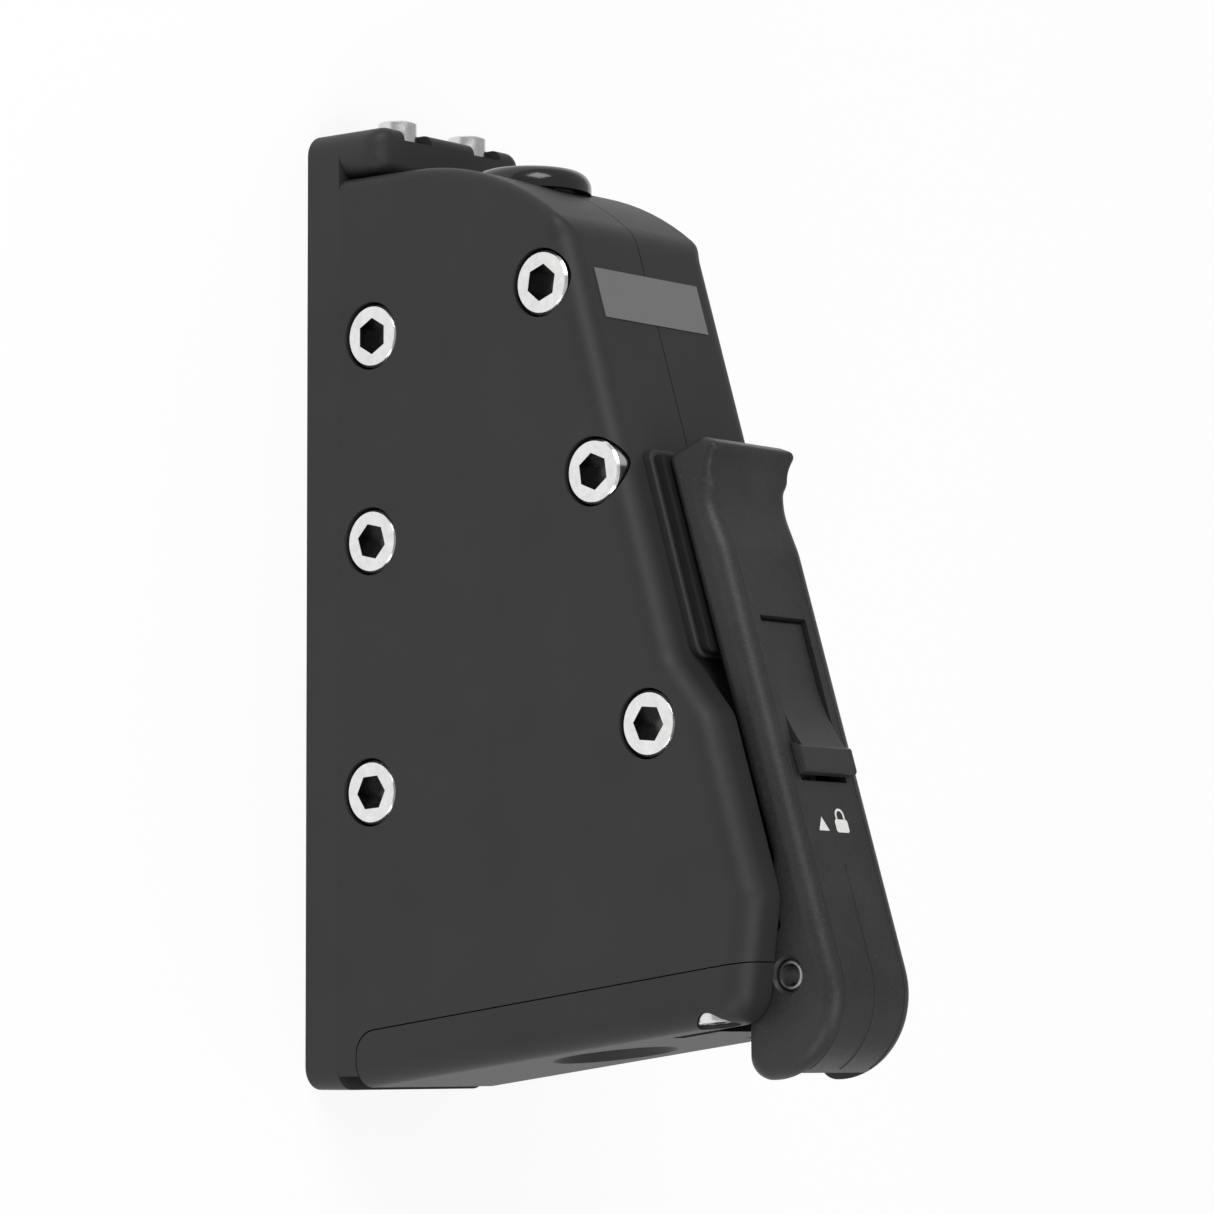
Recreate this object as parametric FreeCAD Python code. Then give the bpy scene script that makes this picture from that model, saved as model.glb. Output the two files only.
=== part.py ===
import FreeCAD, Part
import math
import os

from FreeCAD import Vector

# Rope clutch with V-jaws on a side-mounting base plate.
# Frame: +X from the entry end to the tail end, +Z away from the base plate, Y across.
# Origin: centre of the base plate's bottom face. Millimetres.

# ---- base plate and lug
plate_length = 251.0
plate_thick = 11.0
plate_corner = 6.0
lug_length = 12.6
lug_height = 24.7
lug_edge = 3.0
tongue_width = 22.0
tongue_height = 5.2
tongue_undercut = 2.0
mount_hole_r = 4.5
mount_sink_r = 8.8
mount_spacing_x = 168.0
mount_spacing_y = 35.0

# ---- casing
body_width = 60.0
wall = 12.6
front_wall = 6.4
screw_boss_r = 8.0
floor_height = 30.0
seam_gap = 0.3
entry_x = -112.3
front_rise = 0.30
front_at_zero = 114.3
crown_radius = 75.0
crown_height = 62.5
crown_x = -93.2
crown_corner = 12.0
front_edge_r = 6.5
entry_edge_r = 3.0
shoulder_start = 19.0
shoulder_full = 33.0
shoulder_step = 7.3
shoulder_end = 78.0
shoulder_peak = 145.3
shoulder_tail = 141.4
shoulder_blend = 9.0
end_rise = 0.133
end_at_zero = 127.2
cap_thick = 14.2
cap_foot = 17.5
cap_gap = 0.3
cap_corner = 6.5
strip_end = 122.0
cavity_start = -94.0
cavity_corner = 5.0

# ---- line passage
line_angle = 7.0
line_at_zero = 64.9
entry_z = 51.4
entry_bore_r = 10.0
bush_r = 12.5
bush_end = -96.0
flange_r = 16.0
flange_thick = 6.0
flange_seat = -107.3
exit_r = 11.0
exit_flare = 5.2

# ---- screws
fit_gap = 0.1
back_row = [(-69.8, 22.2), (-16.1, 22.2), (49.0, 22.2)]
front_row = [(-78.1, 79.5), (-28.7, 96.2), (35.2, 113.6)]
side_thread_r = 5.0
side_head_r = 8.3
side_head_h = 9.6
side_sink_r = 8.9
head_recess = 0.5
hex_ratio = 0.5
lug_screw_y = 14.0
lug_screw_z = 17.4
lug_thread_r = 3.0
lug_head_r = 5.1
lug_head_h = 6.0
lug_seat_depth = 3.0
lug_seat_gap = 0.35
lug_screw_length = 34.0
insert_r = 4.6
insert_length = 15.0
cap_screw_y = 23.8
cap_screw_z = 131.0
cap_thread_r = 3.0
cap_head_r = 5.1
cap_head_h = 3.4
cap_screw_length = 22.0
cap_screw_sink = 1.0

# ---- jaws
groove_depth = 9.9
jaw_split = 1.0
upper_jaw_half = 12.5
upper_jaw_start = -42.0
upper_jaw_end = 82.0
lower_jaw_start = -52.0
lower_jaw_end = 84.0
keel_half = 7.5
keel_bottom = 17.6
tooth_pitch = 7.0
tooth_width = 2.6
tooth_depth = 1.3

# ---- parallel links
link_length = 24.0
link_drop = 15.0
link_pivots = [(-14.0, 95.9), (50.0, 115.1)]
link_pivot_r = 4.0
link_pivot_depth = 8.0
link_eye_r = 6.5
link_foot_r = 6.3
spring_x = 18.0
spring_coil_r = 4.6
spring_wire_r = 0.8
spring_turns = 6
link_thick = 3.6
link_inner = 13.0
pin_r = 3.5
clip_r = 6.0
clip_thick = 0.5
clip_gap = 0.1
link_swing = 30.8

# ---- handle
pivot_x = 97.3
pivot_z = 147.0
handle_half = 17.2
cheek_thick = 4.0
web_thick = 4.5
handle_front_rise = 0.305
handle_front_at_zero = 130.6
handle_lift = 6.0
handle_tip_x = -36.6
lip_rise = 5.9
scoop_depth = 1.5
handle_edge_r = 4.6
handle_tip_edge_r = 2.0
handle_tail_x = 122.8
handle_tail_r = 21.1
cheek_bottom = 133.3
tip_block_end = -12.0
handle_open = 100.0
trough_gap = 0.5
sweep_r = 27.8
slot_bottom = 111.0
pivot_pin_r = 4.0
handle_bush_r = 5.6
cheek_skin = 1.6
pin_clear = 0.1
mouth_flare = 0.7
pin_bore_r = 2.9
pin_recess = 1.0
recess_end = (85.0, 142.6)
recess_r = 2.2
recess_long = 12.0
recess_deep = 1.5
spacer_r = 5.5
boss_r = 7.8
rib_half = 4.9
crank_r = 10.0
crank_angle = -35.0
crank_pin_r = 3.25
arm_inner = 6.2
arm_thick = 5.0
hook_clear = 0.4
hook_steps = 20
tail_web_end = 1.0

# ---- lock slider
window_start = 8.0
window_half = 9.4
slider_length = 42.0
slider_overhang = 5.6
window_beyond = 1.4
rivet_r = 1.5
rivet_places = (12.0, 28.0)
slider_gap = 0.4
slider_travel = 5.0
lip_length = 8.4
lip_half = 10.5
lip_proud = 3.0
tongue_sunk = 1.4
tongue_reach = 8.2

# ---- pad and label
pad_start = -34.5
pad_end = 18.6
pad_half = 20.0
pad_height = 5.4
pad_inset = 1.3
pad_edge = 0.7
tray_height = 2.6
tray_corner = 3.0
stuck_gap = 0.02
label_start = -82.0
label_end = -69.0
label_half = 21.0
label_thick = 0.25

half = body_width / 2
cavity_half = half - wall
line_rise = math.tan(math.radians(line_angle))
normal_scale = math.hypot(1.0, front_rise)


def front(x):
    """Height of the casing's front face at x."""
    return front_at_zero + front_rise * x


def handle_front(x):
    """Height of the closed handle's front face at x."""
    return handle_front_at_zero + handle_front_rise * x


def handle_rear(x):
    """Height of the closed handle's rear edge at x."""
    return front(x) + handle_lift


def end_face(z):
    """X of the tail end face at height z."""
    return end_at_zero - end_rise * z


def line_z(x):
    """Height of the line's axis at x."""
    return line_at_zero + line_rise * x


def box(x0, x1, y0, y1, z0, z1):
    """Block between two corners."""
    return Part.makeBox(x1 - x0, y1 - y0, z1 - z0, Vector(x0, y0, z0))


def cyl_y(x, z, r, y0, y1):
    """Cylinder along Y between two planes."""
    return Part.makeCylinder(r, y1 - y0, Vector(x, y0, z), Vector(0, 1, 0))


def cyl_x(y, z, r, x0, x1):
    """Cylinder along X between two planes."""
    return Part.makeCylinder(r, x1 - x0, Vector(x0, y, z), Vector(1, 0, 0))


def cyl_z(x, y, r, z0, z1):
    """Cylinder along Z between two planes."""
    return Part.makeCylinder(r, z1 - z0, Vector(x, y, z0), Vector(0, 0, 1))


def outline(points):
    """Closed wire in the XZ plane through (x, z, corner radius) points."""
    edges = []
    count = len(points)
    ends = []
    for i, (x, z, r) in enumerate(points):
        here = Vector(x, 0, z)
        before = Vector(points[i - 1][0], 0, points[i - 1][1])
        after = Vector(points[(i + 1) % count][0], 0, points[(i + 1) % count][1])
        to_before = (before - here).normalize()
        to_after = (after - here).normalize()
        if r <= 0:
            ends.append((here, here, None))
            continue
        opening = to_before.getAngle(to_after)
        reach = r / math.tan(opening / 2)
        middle = here + (to_before + to_after).normalize() * (r / math.sin(opening / 2) - r)
        ends.append((here + to_before * reach, here + to_after * reach, middle))
    for i, (start, finish, middle) in enumerate(ends):
        if middle is not None:
            edges.append(Part.Arc(start, middle, finish).toShape())
        following = ends[(i + 1) % count][0]
        if finish.distanceToPoint(following) > 1e-4:
            edges.append(Part.makeLine(finish, following))
    return Part.Wire(edges)


def prism(points, y0, y1):
    """Solid of an XZ outline between two Y planes."""
    face = Part.Face(outline(points))
    face.translate(Vector(0, y0, 0))
    solid = face.extrude(Vector(0, y1 - y0, 0))
    return solid


def both_sides(shape):
    """The shape and its mirror image across the middle plane."""
    return [shape, shape.mirror(Vector(0, 0, 0), Vector(0, 1, 0))]


def merge(shapes):
    """One solid from shapes that overlap."""
    result = shapes[0]
    for shape in shapes[1:]:
        result = result.fuse(shape)
    return result.removeSplitter()


def hex_prism(across, depth):
    """Hexagonal prism about +Z from z = 0 down to -depth."""
    r = across / math.sqrt(3)
    corners = [Vector(r * math.cos(math.radians(60 * k)), r * math.sin(math.radians(60 * k)), 0)
               for k in range(7)]
    return Part.Face(Part.makePolygon(corners)).extrude(Vector(0, 0, -depth))


def place(shape, origin, direction, spin=0.0):
    """Turn a shape made along +Z to a direction and move it."""
    placed = shape.copy()
    placed.rotate(Vector(0, 0, 0), Vector(0, 0, 1), spin)
    turn = FreeCAD.Rotation(Vector(0, 0, 1), direction)
    placed.Placement = FreeCAD.Placement(origin, turn).multiply(placed.Placement)
    return placed


def socket_screw(head_r, head_h, thread_r, length, hex_across):
    """Socket screw whose head top is at z = 0, pointing down -Z."""
    head = Part.makeCylinder(head_r, head_h, Vector(0, 0, -head_h))
    rim = min(0.07 * head_r, 0.35 * head_h)
    head = head.makeChamfer(rim, [e for e in head.Edges if abs(e.CenterOfMass.z) < 1e-6])
    shank = Part.makeCylinder(thread_r, length, Vector(0, 0, -head_h - length))
    screw = head.fuse(shank)
    depth = 0.55 * head_h
    return screw.cut(hex_prism(hex_across, depth)).removeSplitter()


def to_line(shape):
    """Move a shape from the line's own frame into the part's frame."""
    moved = shape.copy()
    moved.rotate(Vector(0, 0, 0), Vector(0, 1, 0), -line_angle)
    moved.translate(Vector(0, 0, line_at_zero))
    return moved


# ---- positions of the moving pieces
def crank_at(angle):
    """Place of the handle's crank pins when the handle is open by angle."""
    turn = math.radians(crank_angle + angle)
    return (pivot_x - crank_r * math.cos(turn), pivot_z + crank_r * math.sin(turn))


rest_swing = math.degrees(math.acos(link_drop / link_length))


def jaw_shift(share):
    """Travel of the upper jaw when the links have made a share of their swing."""
    start = math.radians(rest_swing)
    now = math.radians(rest_swing + share * link_swing)
    return (link_length * (math.sin(now) - math.sin(start)),
            link_length * (math.cos(start) - math.cos(now)))


link_reach = link_length * math.sin(math.radians(rest_swing))
jaw_pins = [(x + link_reach, z - link_drop) for x, z in link_pivots]
spring_seat = jaw_pins[0][1] + 0.9 * (pin_r + 3.6)


# ---- casing
def envelope():
    """Outer shape of the two shells and the end cap together."""
    points = [
        (entry_x, plate_thick, 0),
        (entry_x, crown_height, crown_radius),
        (crown_x, front(crown_x), crown_corner),
        (shoulder_start, front(shoulder_start), shoulder_blend),
        (shoulder_full, front(shoulder_full) + shoulder_step, shoulder_blend),
        (shoulder_end, shoulder_peak, shoulder_blend),
        (end_face(shoulder_tail), shoulder_tail, shoulder_blend),
        (end_face(plate_thick), plate_thick, 0),
    ]
    return prism(points, -half, half)


def fillet_sides(solid, side_y, lowest, radius_at):
    """Round a prism's side edges above a height, with a radius that may differ from end to end."""
    document = FreeCAD.newDocument("rounding")
    block = document.addObject("Part::Feature", "block")
    block.Shape = solid
    rounded = document.addObject("Part::Fillet", "rounded")
    rounded.Base = block
    edges = []
    for index, edge in enumerate(block.Shape.Edges, 1):
        centre = edge.CenterOfMass
        if abs(abs(centre.y) - side_y) < 1e-3 and centre.z > lowest(centre.x):
            ends = [radius_at(v.X, v.Z) for v in (edge.firstVertex(), edge.lastVertex())]
            edges.append((index, *ends))
    rounded.Edges = edges
    document.recompute()
    shape = rounded.Shape.copy()
    FreeCAD.closeDocument(document.Name)
    return shape


def casing_edge_r(x, z):
    """Rounding of the casing's side edges: small round the entry, larger along the front."""
    before_corner = x < crown_x and z < front(crown_x)
    return entry_edge_r if before_corner else front_edge_r


def rounded_envelope():
    """Envelope with its side edges rounded."""
    return fillet_sides(envelope(), half, lambda x: plate_thick + 1.0, casing_edge_r)


def groove_region(gap):
    """Space behind the joint between the shells and the end cap."""
    joint_low = end_face(cap_foot) - cap_thick + gap
    joint_high = end_face(200.0) - cap_thick + gap
    foot = cap_foot + gap
    return prism([(joint_low, foot, cap_corner), (joint_high, 200.0, 0), (200.0, 200.0, 0), (200.0, foot, 0)],
                 -half - 5, half + 5)


def sweep_cut():
    """Room for the handle's tail end to swing in."""
    reach = handle_half + trough_gap
    return cyl_y(pivot_x, pivot_z, sweep_r, -reach, reach)


def trough_cut():
    """Channel between the shoulders where the closed handle lies."""
    reach = handle_half + trough_gap
    start = shoulder_start - 3.0
    finish = 160.0
    return prism([(start, front(start), 0), (finish, front(finish), 0), (finish, 260.0, 0),
                  (start, 260.0, 0)], -reach, reach)


def cheek_slots():
    """Slots through the end cap that the handle's cheeks pass."""
    outer = handle_half + trough_gap
    inner = handle_half - cheek_thick - trough_gap
    slot = box(pivot_x, 140.0, inner, outer, slot_bottom, pivot_z)
    return both_sides(slot)


def cavity():
    """Room inside the shells for the jaws and links."""
    roof = front_wall * normal_scale
    nose_x = cavity_start
    tail = 150.0
    points = [
        (nose_x, floor_height, cavity_corner),
        (nose_x, front(nose_x + 22.0) - roof - 12.0, cavity_corner),
        (nose_x + 22.0, front(nose_x + 22.0) - roof, cavity_corner),
        (tail, front(tail) - roof, 0),
        (tail, floor_height, 0),
    ]
    return prism(points, -cavity_half, cavity_half)


def arm_openings():
    """Openings in the front wall that the lifting arms pass."""
    x2, z2 = jaw_pins[1]
    slot = box(x2 - 4.0, pivot_x, rib_half, arm_inner + arm_thick + 1.0, z2 + 12.0, pivot_z)
    return both_sides(slot)


def screw_bosses():
    """Bosses around the front row of screws, across the cavity."""
    return [cyl_y(x, z, screw_boss_r, -cavity_half - 1, cavity_half + 1) for x, z in front_row]


def pivot_rib():
    """Central rib that carries the handle's pivot, for both shells."""
    roof = front_wall * normal_scale
    foot_start = 65.6
    foot_end = 76.0
    points = [
        (foot_start, front(foot_start) - roof, 0),
        (foot_start, front(foot_start) - 0.5, 0),
        (foot_start + 5.0, front(foot_start + 5.0) + 3.0, 3.0),
        (pivot_x - 0.58 * boss_r, pivot_z + 0.82 * boss_r, 0),
        (pivot_x, pivot_z, 0),
        (pivot_x - 0.7 * boss_r, pivot_z - 0.7 * boss_r, 0),
        (pivot_x - 13.0, pivot_z - 18.5, 4.0),
        (foot_end, front(foot_end) - roof - 2.0, 0),
    ]
    arm = prism(points, -rib_half, rib_half)
    boss = cyl_y(pivot_x, pivot_z, boss_r, -rib_half, rib_half)
    return merge([arm, boss])


def screw_clearances():
    """Holes and counterbores for the six side screws and their nuts."""
    cuts = []
    depth = side_head_h + head_recess
    for x, z in back_row + front_row:
        cuts.append(cyl_y(x, z, side_thread_r + fit_gap, -half - 1, half + 1))
        cuts.append(cyl_y(x, z, side_sink_r, -half - 1, -half + depth))
        cuts.append(cyl_y(x, z, side_sink_r, half - depth, half + 1))
    return cuts


def shell_fasteners():
    """Bores for the lug inserts, cap inserts and plate screw heads."""
    cuts = []
    for side in (-1, 1):
        cuts.append(cyl_x(side * lug_screw_y, lug_screw_z, insert_r + fit_gap,
                          entry_x - 1, entry_x + insert_length + 0.5))
        cuts.append(cyl_x(side * lug_screw_y, lug_screw_z, lug_thread_r + 0.4,
                          entry_x, entry_x + lug_screw_length))
        cuts.append(cap_axis_cylinder(side, insert_r + fit_gap, -cap_thick - insert_length, -cap_thick + 1))
        for end in (-1, 1):
            cuts.append(cyl_z(end * mount_spacing_x / 2, side * mount_spacing_y / 2, mount_sink_r,
                              plate_thick - 1, plate_thick + 6.0))
    return cuts


def cap_axis_cylinder(side, r, near, far):
    """Cylinder along the end cap's normal at a cap screw, measured from the end face."""
    origin = Vector(end_face(cap_screw_z), side * cap_screw_y, cap_screw_z)
    normal = Vector(1, 0, end_rise).normalize()
    return Part.makeCylinder(r, far - near, origin + normal * near, normal)


def bush_seat(gap):
    """Seat of the entry bush in the shells."""
    sleeve = cyl_x(0, entry_z, bush_r + gap, entry_x - 5, bush_end + gap)
    flange = cyl_x(0, entry_z, flange_r + 0.6, entry_x - 12, flange_seat)
    throat = cyl_x(0, entry_z, entry_bore_r + 1.0, bush_end - 1, cavity_start + 1)
    return [sleeve, flange, throat]


def keel_slot():
    """Slot in the casing's floor that holds the lower jaw's keel."""
    return box(lower_jaw_start - 0.3, lower_jaw_end + 0.3, -keel_half - fit_gap, keel_half + fit_gap,
               keel_bottom - fit_gap, floor_height + 1)


def tongue(gap):
    """Undercut rail on the base plate that the casing slides on."""
    top = plate_thick + tongue_height + gap
    wide = tongue_width / 2 + gap
    narrow = wide - tongue_undercut
    start = -plate_length / 2 + 37.0 - gap
    finish = plate_length / 2 - 30.0 + gap
    corners = [Vector(start, -narrow, plate_thick - 0.01), Vector(start, narrow, plate_thick - 0.01),
               Vector(start, wide, top), Vector(start, -wide, top), Vector(start, -narrow, plate_thick - 0.01)]
    return Part.Face(Part.makePolygon(corners)).extrude(Vector(finish - start, 0, 0))


def make_shells(outer):
    """Left and right shells, left being the side with the screw heads."""
    solid = outer.cut(groove_region(0.0))
    solid = solid.cut(box(strip_end, 200, -half - 5, half + 5, 0, cap_foot + 2))
    for cut in [trough_cut(), sweep_cut(), cavity(), keel_slot(), tongue(0.25)] + arm_openings():
        solid = solid.cut(cut)
    for boss in screw_bosses():
        solid = solid.fuse(boss)
    for x, z in link_pivots:
        depth = cavity_half + link_pivot_depth
        solid = solid.cut(cyl_y(x, z, link_pivot_r + 0.02, -depth, depth))
    for cut in screw_clearances() + shell_fasteners() + bush_seat(fit_gap):
        solid = solid.cut(cut)
    rib = pivot_rib().cut(cyl_y(pivot_x, pivot_z, pivot_pin_r + 0.03, -half, half))
    solid = solid.fuse(rib).removeSplitter()
    shells = []
    for side in (-1, 1):
        low, high = sorted((side * (half + 5), side * seam_gap / 2))
        shells.append(solid.common(box(-200, 200, low, high, -10, 260)))
    return shells


def make_end_cap(outer):
    """Tail cap with the line's exit hole and the cheek slots."""
    cap = outer.common(groove_region(cap_gap))
    reach = handle_half + trough_gap
    cap = cap.cut(sweep_cut())
    cap = cap.cut(prism([(60.0, pivot_z - 20.0, 0), (60.0, 260.0, 0), (150.0, 260.0, 0),
                         (150.0, pivot_z - 20.0, 0)], -reach, reach))
    for slot in cheek_slots():
        cap = cap.cut(slot)
    exit_origin = Vector(end_face(exit_height()), 0, exit_height())
    normal = Vector(1, 0, end_rise).normalize()
    cap = cap.cut(Part.makeCylinder(exit_r, 60.0, exit_origin - normal * 40.0, normal))
    flare = Part.makeCone(exit_r, exit_r + exit_flare, exit_flare, exit_origin - normal * exit_flare, normal)
    cap = cap.cut(flare)
    for side in (-1, 1):
        cap = cap.cut(cap_axis_cylinder(side, cap_thread_r + 0.3, -cap_thick - 5, 1))
        cap = cap.cut(cap_axis_cylinder(side, cap_head_r + 0.3, -cap_head_h - cap_screw_sink, 12))
    return cap.removeSplitter()


def exit_height():
    """Height where the line's axis meets the end face."""
    return (line_at_zero + line_rise * end_at_zero) / (1 + line_rise * end_rise)


# ---- base plate, bush and fasteners
def make_base_plate():
    """Plate with its end lug, undercut rail and countersunk holes."""
    x0, x1 = -plate_length / 2, plate_length / 2
    plate = box(x0, x1, -half, half, 0, plate_thick)
    lug = box(x0, x0 + lug_length, -half, half, plate_thick - 1, lug_height)
    top_edges = [e for e in lug.Edges
                 if abs(e.CenterOfMass.z - lug_height) < 1e-6 and abs(e.CenterOfMass.y) < half - 1]
    lug = lug.makeFillet(lug_edge, top_edges)
    base = merge([plate, lug])
    corners = [e for e in base.Edges
               if abs(abs(e.CenterOfMass.y) - half) < 1e-6 and len(e.Vertexes) == 2
               and abs(e.Vertexes[0].X - e.Vertexes[1].X) < 1e-6
               and abs(abs(e.Vertexes[0].X) - plate_length / 2) < 1e-6 and e.Length > plate_thick - 1]
    base = base.makeFillet(plate_corner, corners)
    base = merge([base, tongue(0.0)])
    for side in (-1, 1):
        base = base.cut(cyl_x(side * lug_screw_y, lug_screw_z, lug_thread_r + 0.3, x0 - 1, x0 + lug_length + 1))
        spot = cyl_x(side * lug_screw_y, lug_screw_z, lug_head_r + lug_seat_gap, x0 - 5, x0 + lug_seat_depth)
        open_top = box(x0 - 5, x0 + lug_seat_depth, side * lug_screw_y - lug_head_r - lug_seat_gap,
                       side * lug_screw_y + lug_head_r + lug_seat_gap, lug_screw_z, lug_height + 5)
        base = base.cut(spot).cut(open_top)
        for end in (-1, 1):
            x, y = end * mount_spacing_x / 2, side * mount_spacing_y / 2
            base = base.cut(cyl_z(x, y, mount_hole_r, -1, plate_thick + 1))
            sink = mount_sink_r - mount_hole_r
            base = base.cut(Part.makeCone(mount_hole_r, mount_sink_r, sink, Vector(x, y, plate_thick - sink)))
    return base.removeSplitter()


def make_entry_bush():
    """Flanged bush with a rounded mouth."""
    sleeve = cyl_x(0, entry_z, bush_r, flange_seat, bush_end)
    flange = cyl_x(0, entry_z, flange_r, flange_seat - flange_thick, flange_seat)
    rim = [e for e in flange.Edges if abs(e.CenterOfMass.x - flange_seat + flange_thick) < 1e-6]
    flange = flange.makeFillet(flange_thick * 0.75, rim)
    bush = merge([flange, sleeve])
    bush = bush.cut(cyl_x(0, entry_z, entry_bore_r, flange_seat - 20, bush_end + 5))
    mouths = [e for e in bush.Edges if abs(e.Length - 2 * math.pi * entry_bore_r) < 0.1]
    front_mouth = [e for e in mouths if e.CenterOfMass.x < flange_seat]
    return bush.makeFillet(1.4, front_mouth)


def make_side_screws():
    """Six socket screws and the sleeve nuts that meet them."""
    screws = []
    nuts = []
    nut_bore = side_thread_r + fit_gap
    for k, (x, z) in enumerate(back_row + front_row):
        head_top = -half + head_recess
        length = 2 * half - 2 * head_recess - side_head_h - 3.0
        screw = socket_screw(side_head_r, side_head_h, side_thread_r, length, 2 * side_head_r * hex_ratio)
        screws.append(place(screw, Vector(x, head_top, z), Vector(0, -1, 0), 17.0 * k))
        nut = cyl_y(x, z, side_head_r, half - head_recess - side_head_h, half - head_recess)
        rim = [e for e in nut.Edges if abs(e.CenterOfMass.y - half + head_recess) < 1e-6]
        nut = nut.makeChamfer(1.0, rim)
        nut = nut.cut(cyl_y(x, z, nut_bore, 0, half - head_recess - 2.4))
        nuts.append(nut)
    return Part.makeCompound(screws), Part.makeCompound(nuts)


def make_link_pivots():
    """Fixed pins that the parallel links turn on."""
    reach = cavity_half + link_pivot_depth - 0.3
    return Part.makeCompound([cyl_y(x, z, link_pivot_r, -reach, reach) for x, z in link_pivots])


def make_lug_fasteners():
    """Two lug screws and the threaded inserts in the shells."""
    screws = []
    inserts = []
    head_top = -plate_length / 2 + lug_seat_depth - lug_head_h
    for side in (-1, 1):
        screw = socket_screw(lug_head_r, lug_head_h, lug_thread_r, lug_screw_length - 8, lug_head_r)
        screws.append(place(screw, Vector(head_top, side * lug_screw_y, lug_screw_z), Vector(-1, 0, 0)))
        insert = cyl_x(side * lug_screw_y, lug_screw_z, insert_r, entry_x + 0.5, entry_x + insert_length)
        inserts.append(insert.cut(cyl_x(side * lug_screw_y, lug_screw_z, lug_thread_r + fit_gap,
                                        entry_x - 5, entry_x + insert_length + 5)))
    return Part.makeCompound(screws), Part.makeCompound(inserts)


def make_cap_fasteners():
    """Two end cap screws and their inserts."""
    screws = []
    inserts = []
    normal = Vector(1, 0, end_rise).normalize()
    for side in (-1, 1):
        top = Vector(end_face(cap_screw_z), side * cap_screw_y, cap_screw_z) - normal * cap_screw_sink
        screw = socket_screw(cap_head_r, cap_head_h, cap_thread_r, cap_screw_length, cap_head_r * 0.8)
        screws.append(place(screw, top, normal))
        insert = cap_axis_cylinder(side, insert_r, -cap_thick - insert_length + 0.5, -cap_thick - 0.5)
        inserts.append(insert.cut(cap_axis_cylinder(side, cap_thread_r + fit_gap, -60, 5)))
    return Part.makeCompound(screws), Part.makeCompound(inserts)


# ---- jaws
def groove(start, end, upward, depth):
    """V-shaped cutter along the line, opening up or down, in the line's frame."""
    sign = 1 if upward else -1
    reach = depth + 1.5
    corners = [Vector(start, 0, -sign * depth), Vector(start, reach, sign * 1.5),
               Vector(start, -reach, sign * 1.5), Vector(start, 0, -sign * depth)]
    return Part.Face(Part.makePolygon(corners)).extrude(Vector(end - start, 0, 0))


def teeth(start, end, upward):
    """Row of narrow deeper cuts that leave teeth on the groove's flanks."""
    cuts = []
    count = int((end - start - tooth_pitch) / tooth_pitch)
    for k in range(count):
        u = start + tooth_pitch * (k + 1)
        cuts.append(groove(u - tooth_width / 2, u + tooth_width / 2, upward,
                           groove_depth + tooth_depth * math.sqrt(2)))
    return cuts


def make_lower_jaw():
    """Fixed toothed jaw with a keel between the shells."""
    top_start = line_z(lower_jaw_start) - jaw_split
    top_end = line_z(lower_jaw_end) - jaw_split
    width = cavity_half - 0.2
    block = prism([(lower_jaw_start, floor_height, 0), (lower_jaw_start, top_start, 4.0),
                   (lower_jaw_end, top_end, 4.0), (lower_jaw_end, floor_height, 0)], -width, width)
    keel = box(lower_jaw_start, lower_jaw_end, -keel_half, keel_half, keel_bottom, floor_height + 1)
    jaw = merge([block, keel])
    jaw = jaw.cut(to_line(groove(-120, 120, True, groove_depth)))
    for cut in teeth(lower_jaw_start, lower_jaw_end, True):
        jaw = jaw.cut(to_line(cut))
    for x, z in back_row:
        jaw = jaw.cut(cyl_y(x, z, side_thread_r + fit_gap, -half, half))
    return jaw


def make_upper_jaw():
    """Moving toothed jaw that hangs on the links."""
    top_front = line_z(upper_jaw_start) + 6.0
    (x1, z1), (x2, z2) = jaw_pins
    boss = pin_r + 3.6
    points = [
        (upper_jaw_start, line_z(upper_jaw_start) + jaw_split, 0),
        (upper_jaw_start, top_front, 3.0),
        (x1 - 1.1 * boss, z1 + 0.4 * boss, 4.0),
        (x1 - 0.3 * boss, z1 + boss, 3.0),
        (x1 + boss, spring_seat, 6.0),
        (spring_x + 8.0, spring_seat, 4.0),
        (x2 - 2.2 * boss, z2 - 1.0 * boss, 8.0),
        (x2 - 0.9 * boss, z2 + boss, 4.0),
        (upper_jaw_end + 3.0, z2 + 0.8 * boss, 5.0),
        (upper_jaw_end + 3.0, line_z(upper_jaw_end) + 9.0, 6.0),
        (upper_jaw_end, line_z(upper_jaw_end) + jaw_split, 0),
    ]
    jaw = prism(points, -upper_jaw_half, upper_jaw_half)
    jaw = jaw.cut(to_line(groove(-120, 120, False, groove_depth)))
    for cut in teeth(upper_jaw_start, upper_jaw_end, False):
        jaw = jaw.cut(to_line(cut))
    for x, z in jaw_pins + [arm_pin()]:
        jaw = jaw.cut(cyl_y(x, z, pin_r + 0.05, -half, half))
    for slot in arm_slots():
        jaw = jaw.cut(slot)
    return jaw


def arm_pin():
    """Second pin that holds the lifting arms to the jaw."""
    x2, z2 = jaw_pins[1]
    return (x2 + 8.5, z2 - 9.0)


def arm_slots():
    """Slots in the jaw that the lifting arms drop into."""
    x2, z2 = jaw_pins[1]
    slot = box(x2 - 8.0, x2 + 40.0, arm_inner - 0.1, arm_inner + arm_thick + 0.1, z2 - 15.0, z2 + 30.0)
    return both_sides(slot)


def hook_path():
    """Places of a crank pin seen from the jaw as the handle opens."""
    places = []
    for k in range(hook_steps + 1):
        share = k / hook_steps
        cx, cz = crank_at(share * handle_open)
        dx, dz = jaw_shift(share)
        places.append((cx - dx, cz - dz))
    return places


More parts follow.
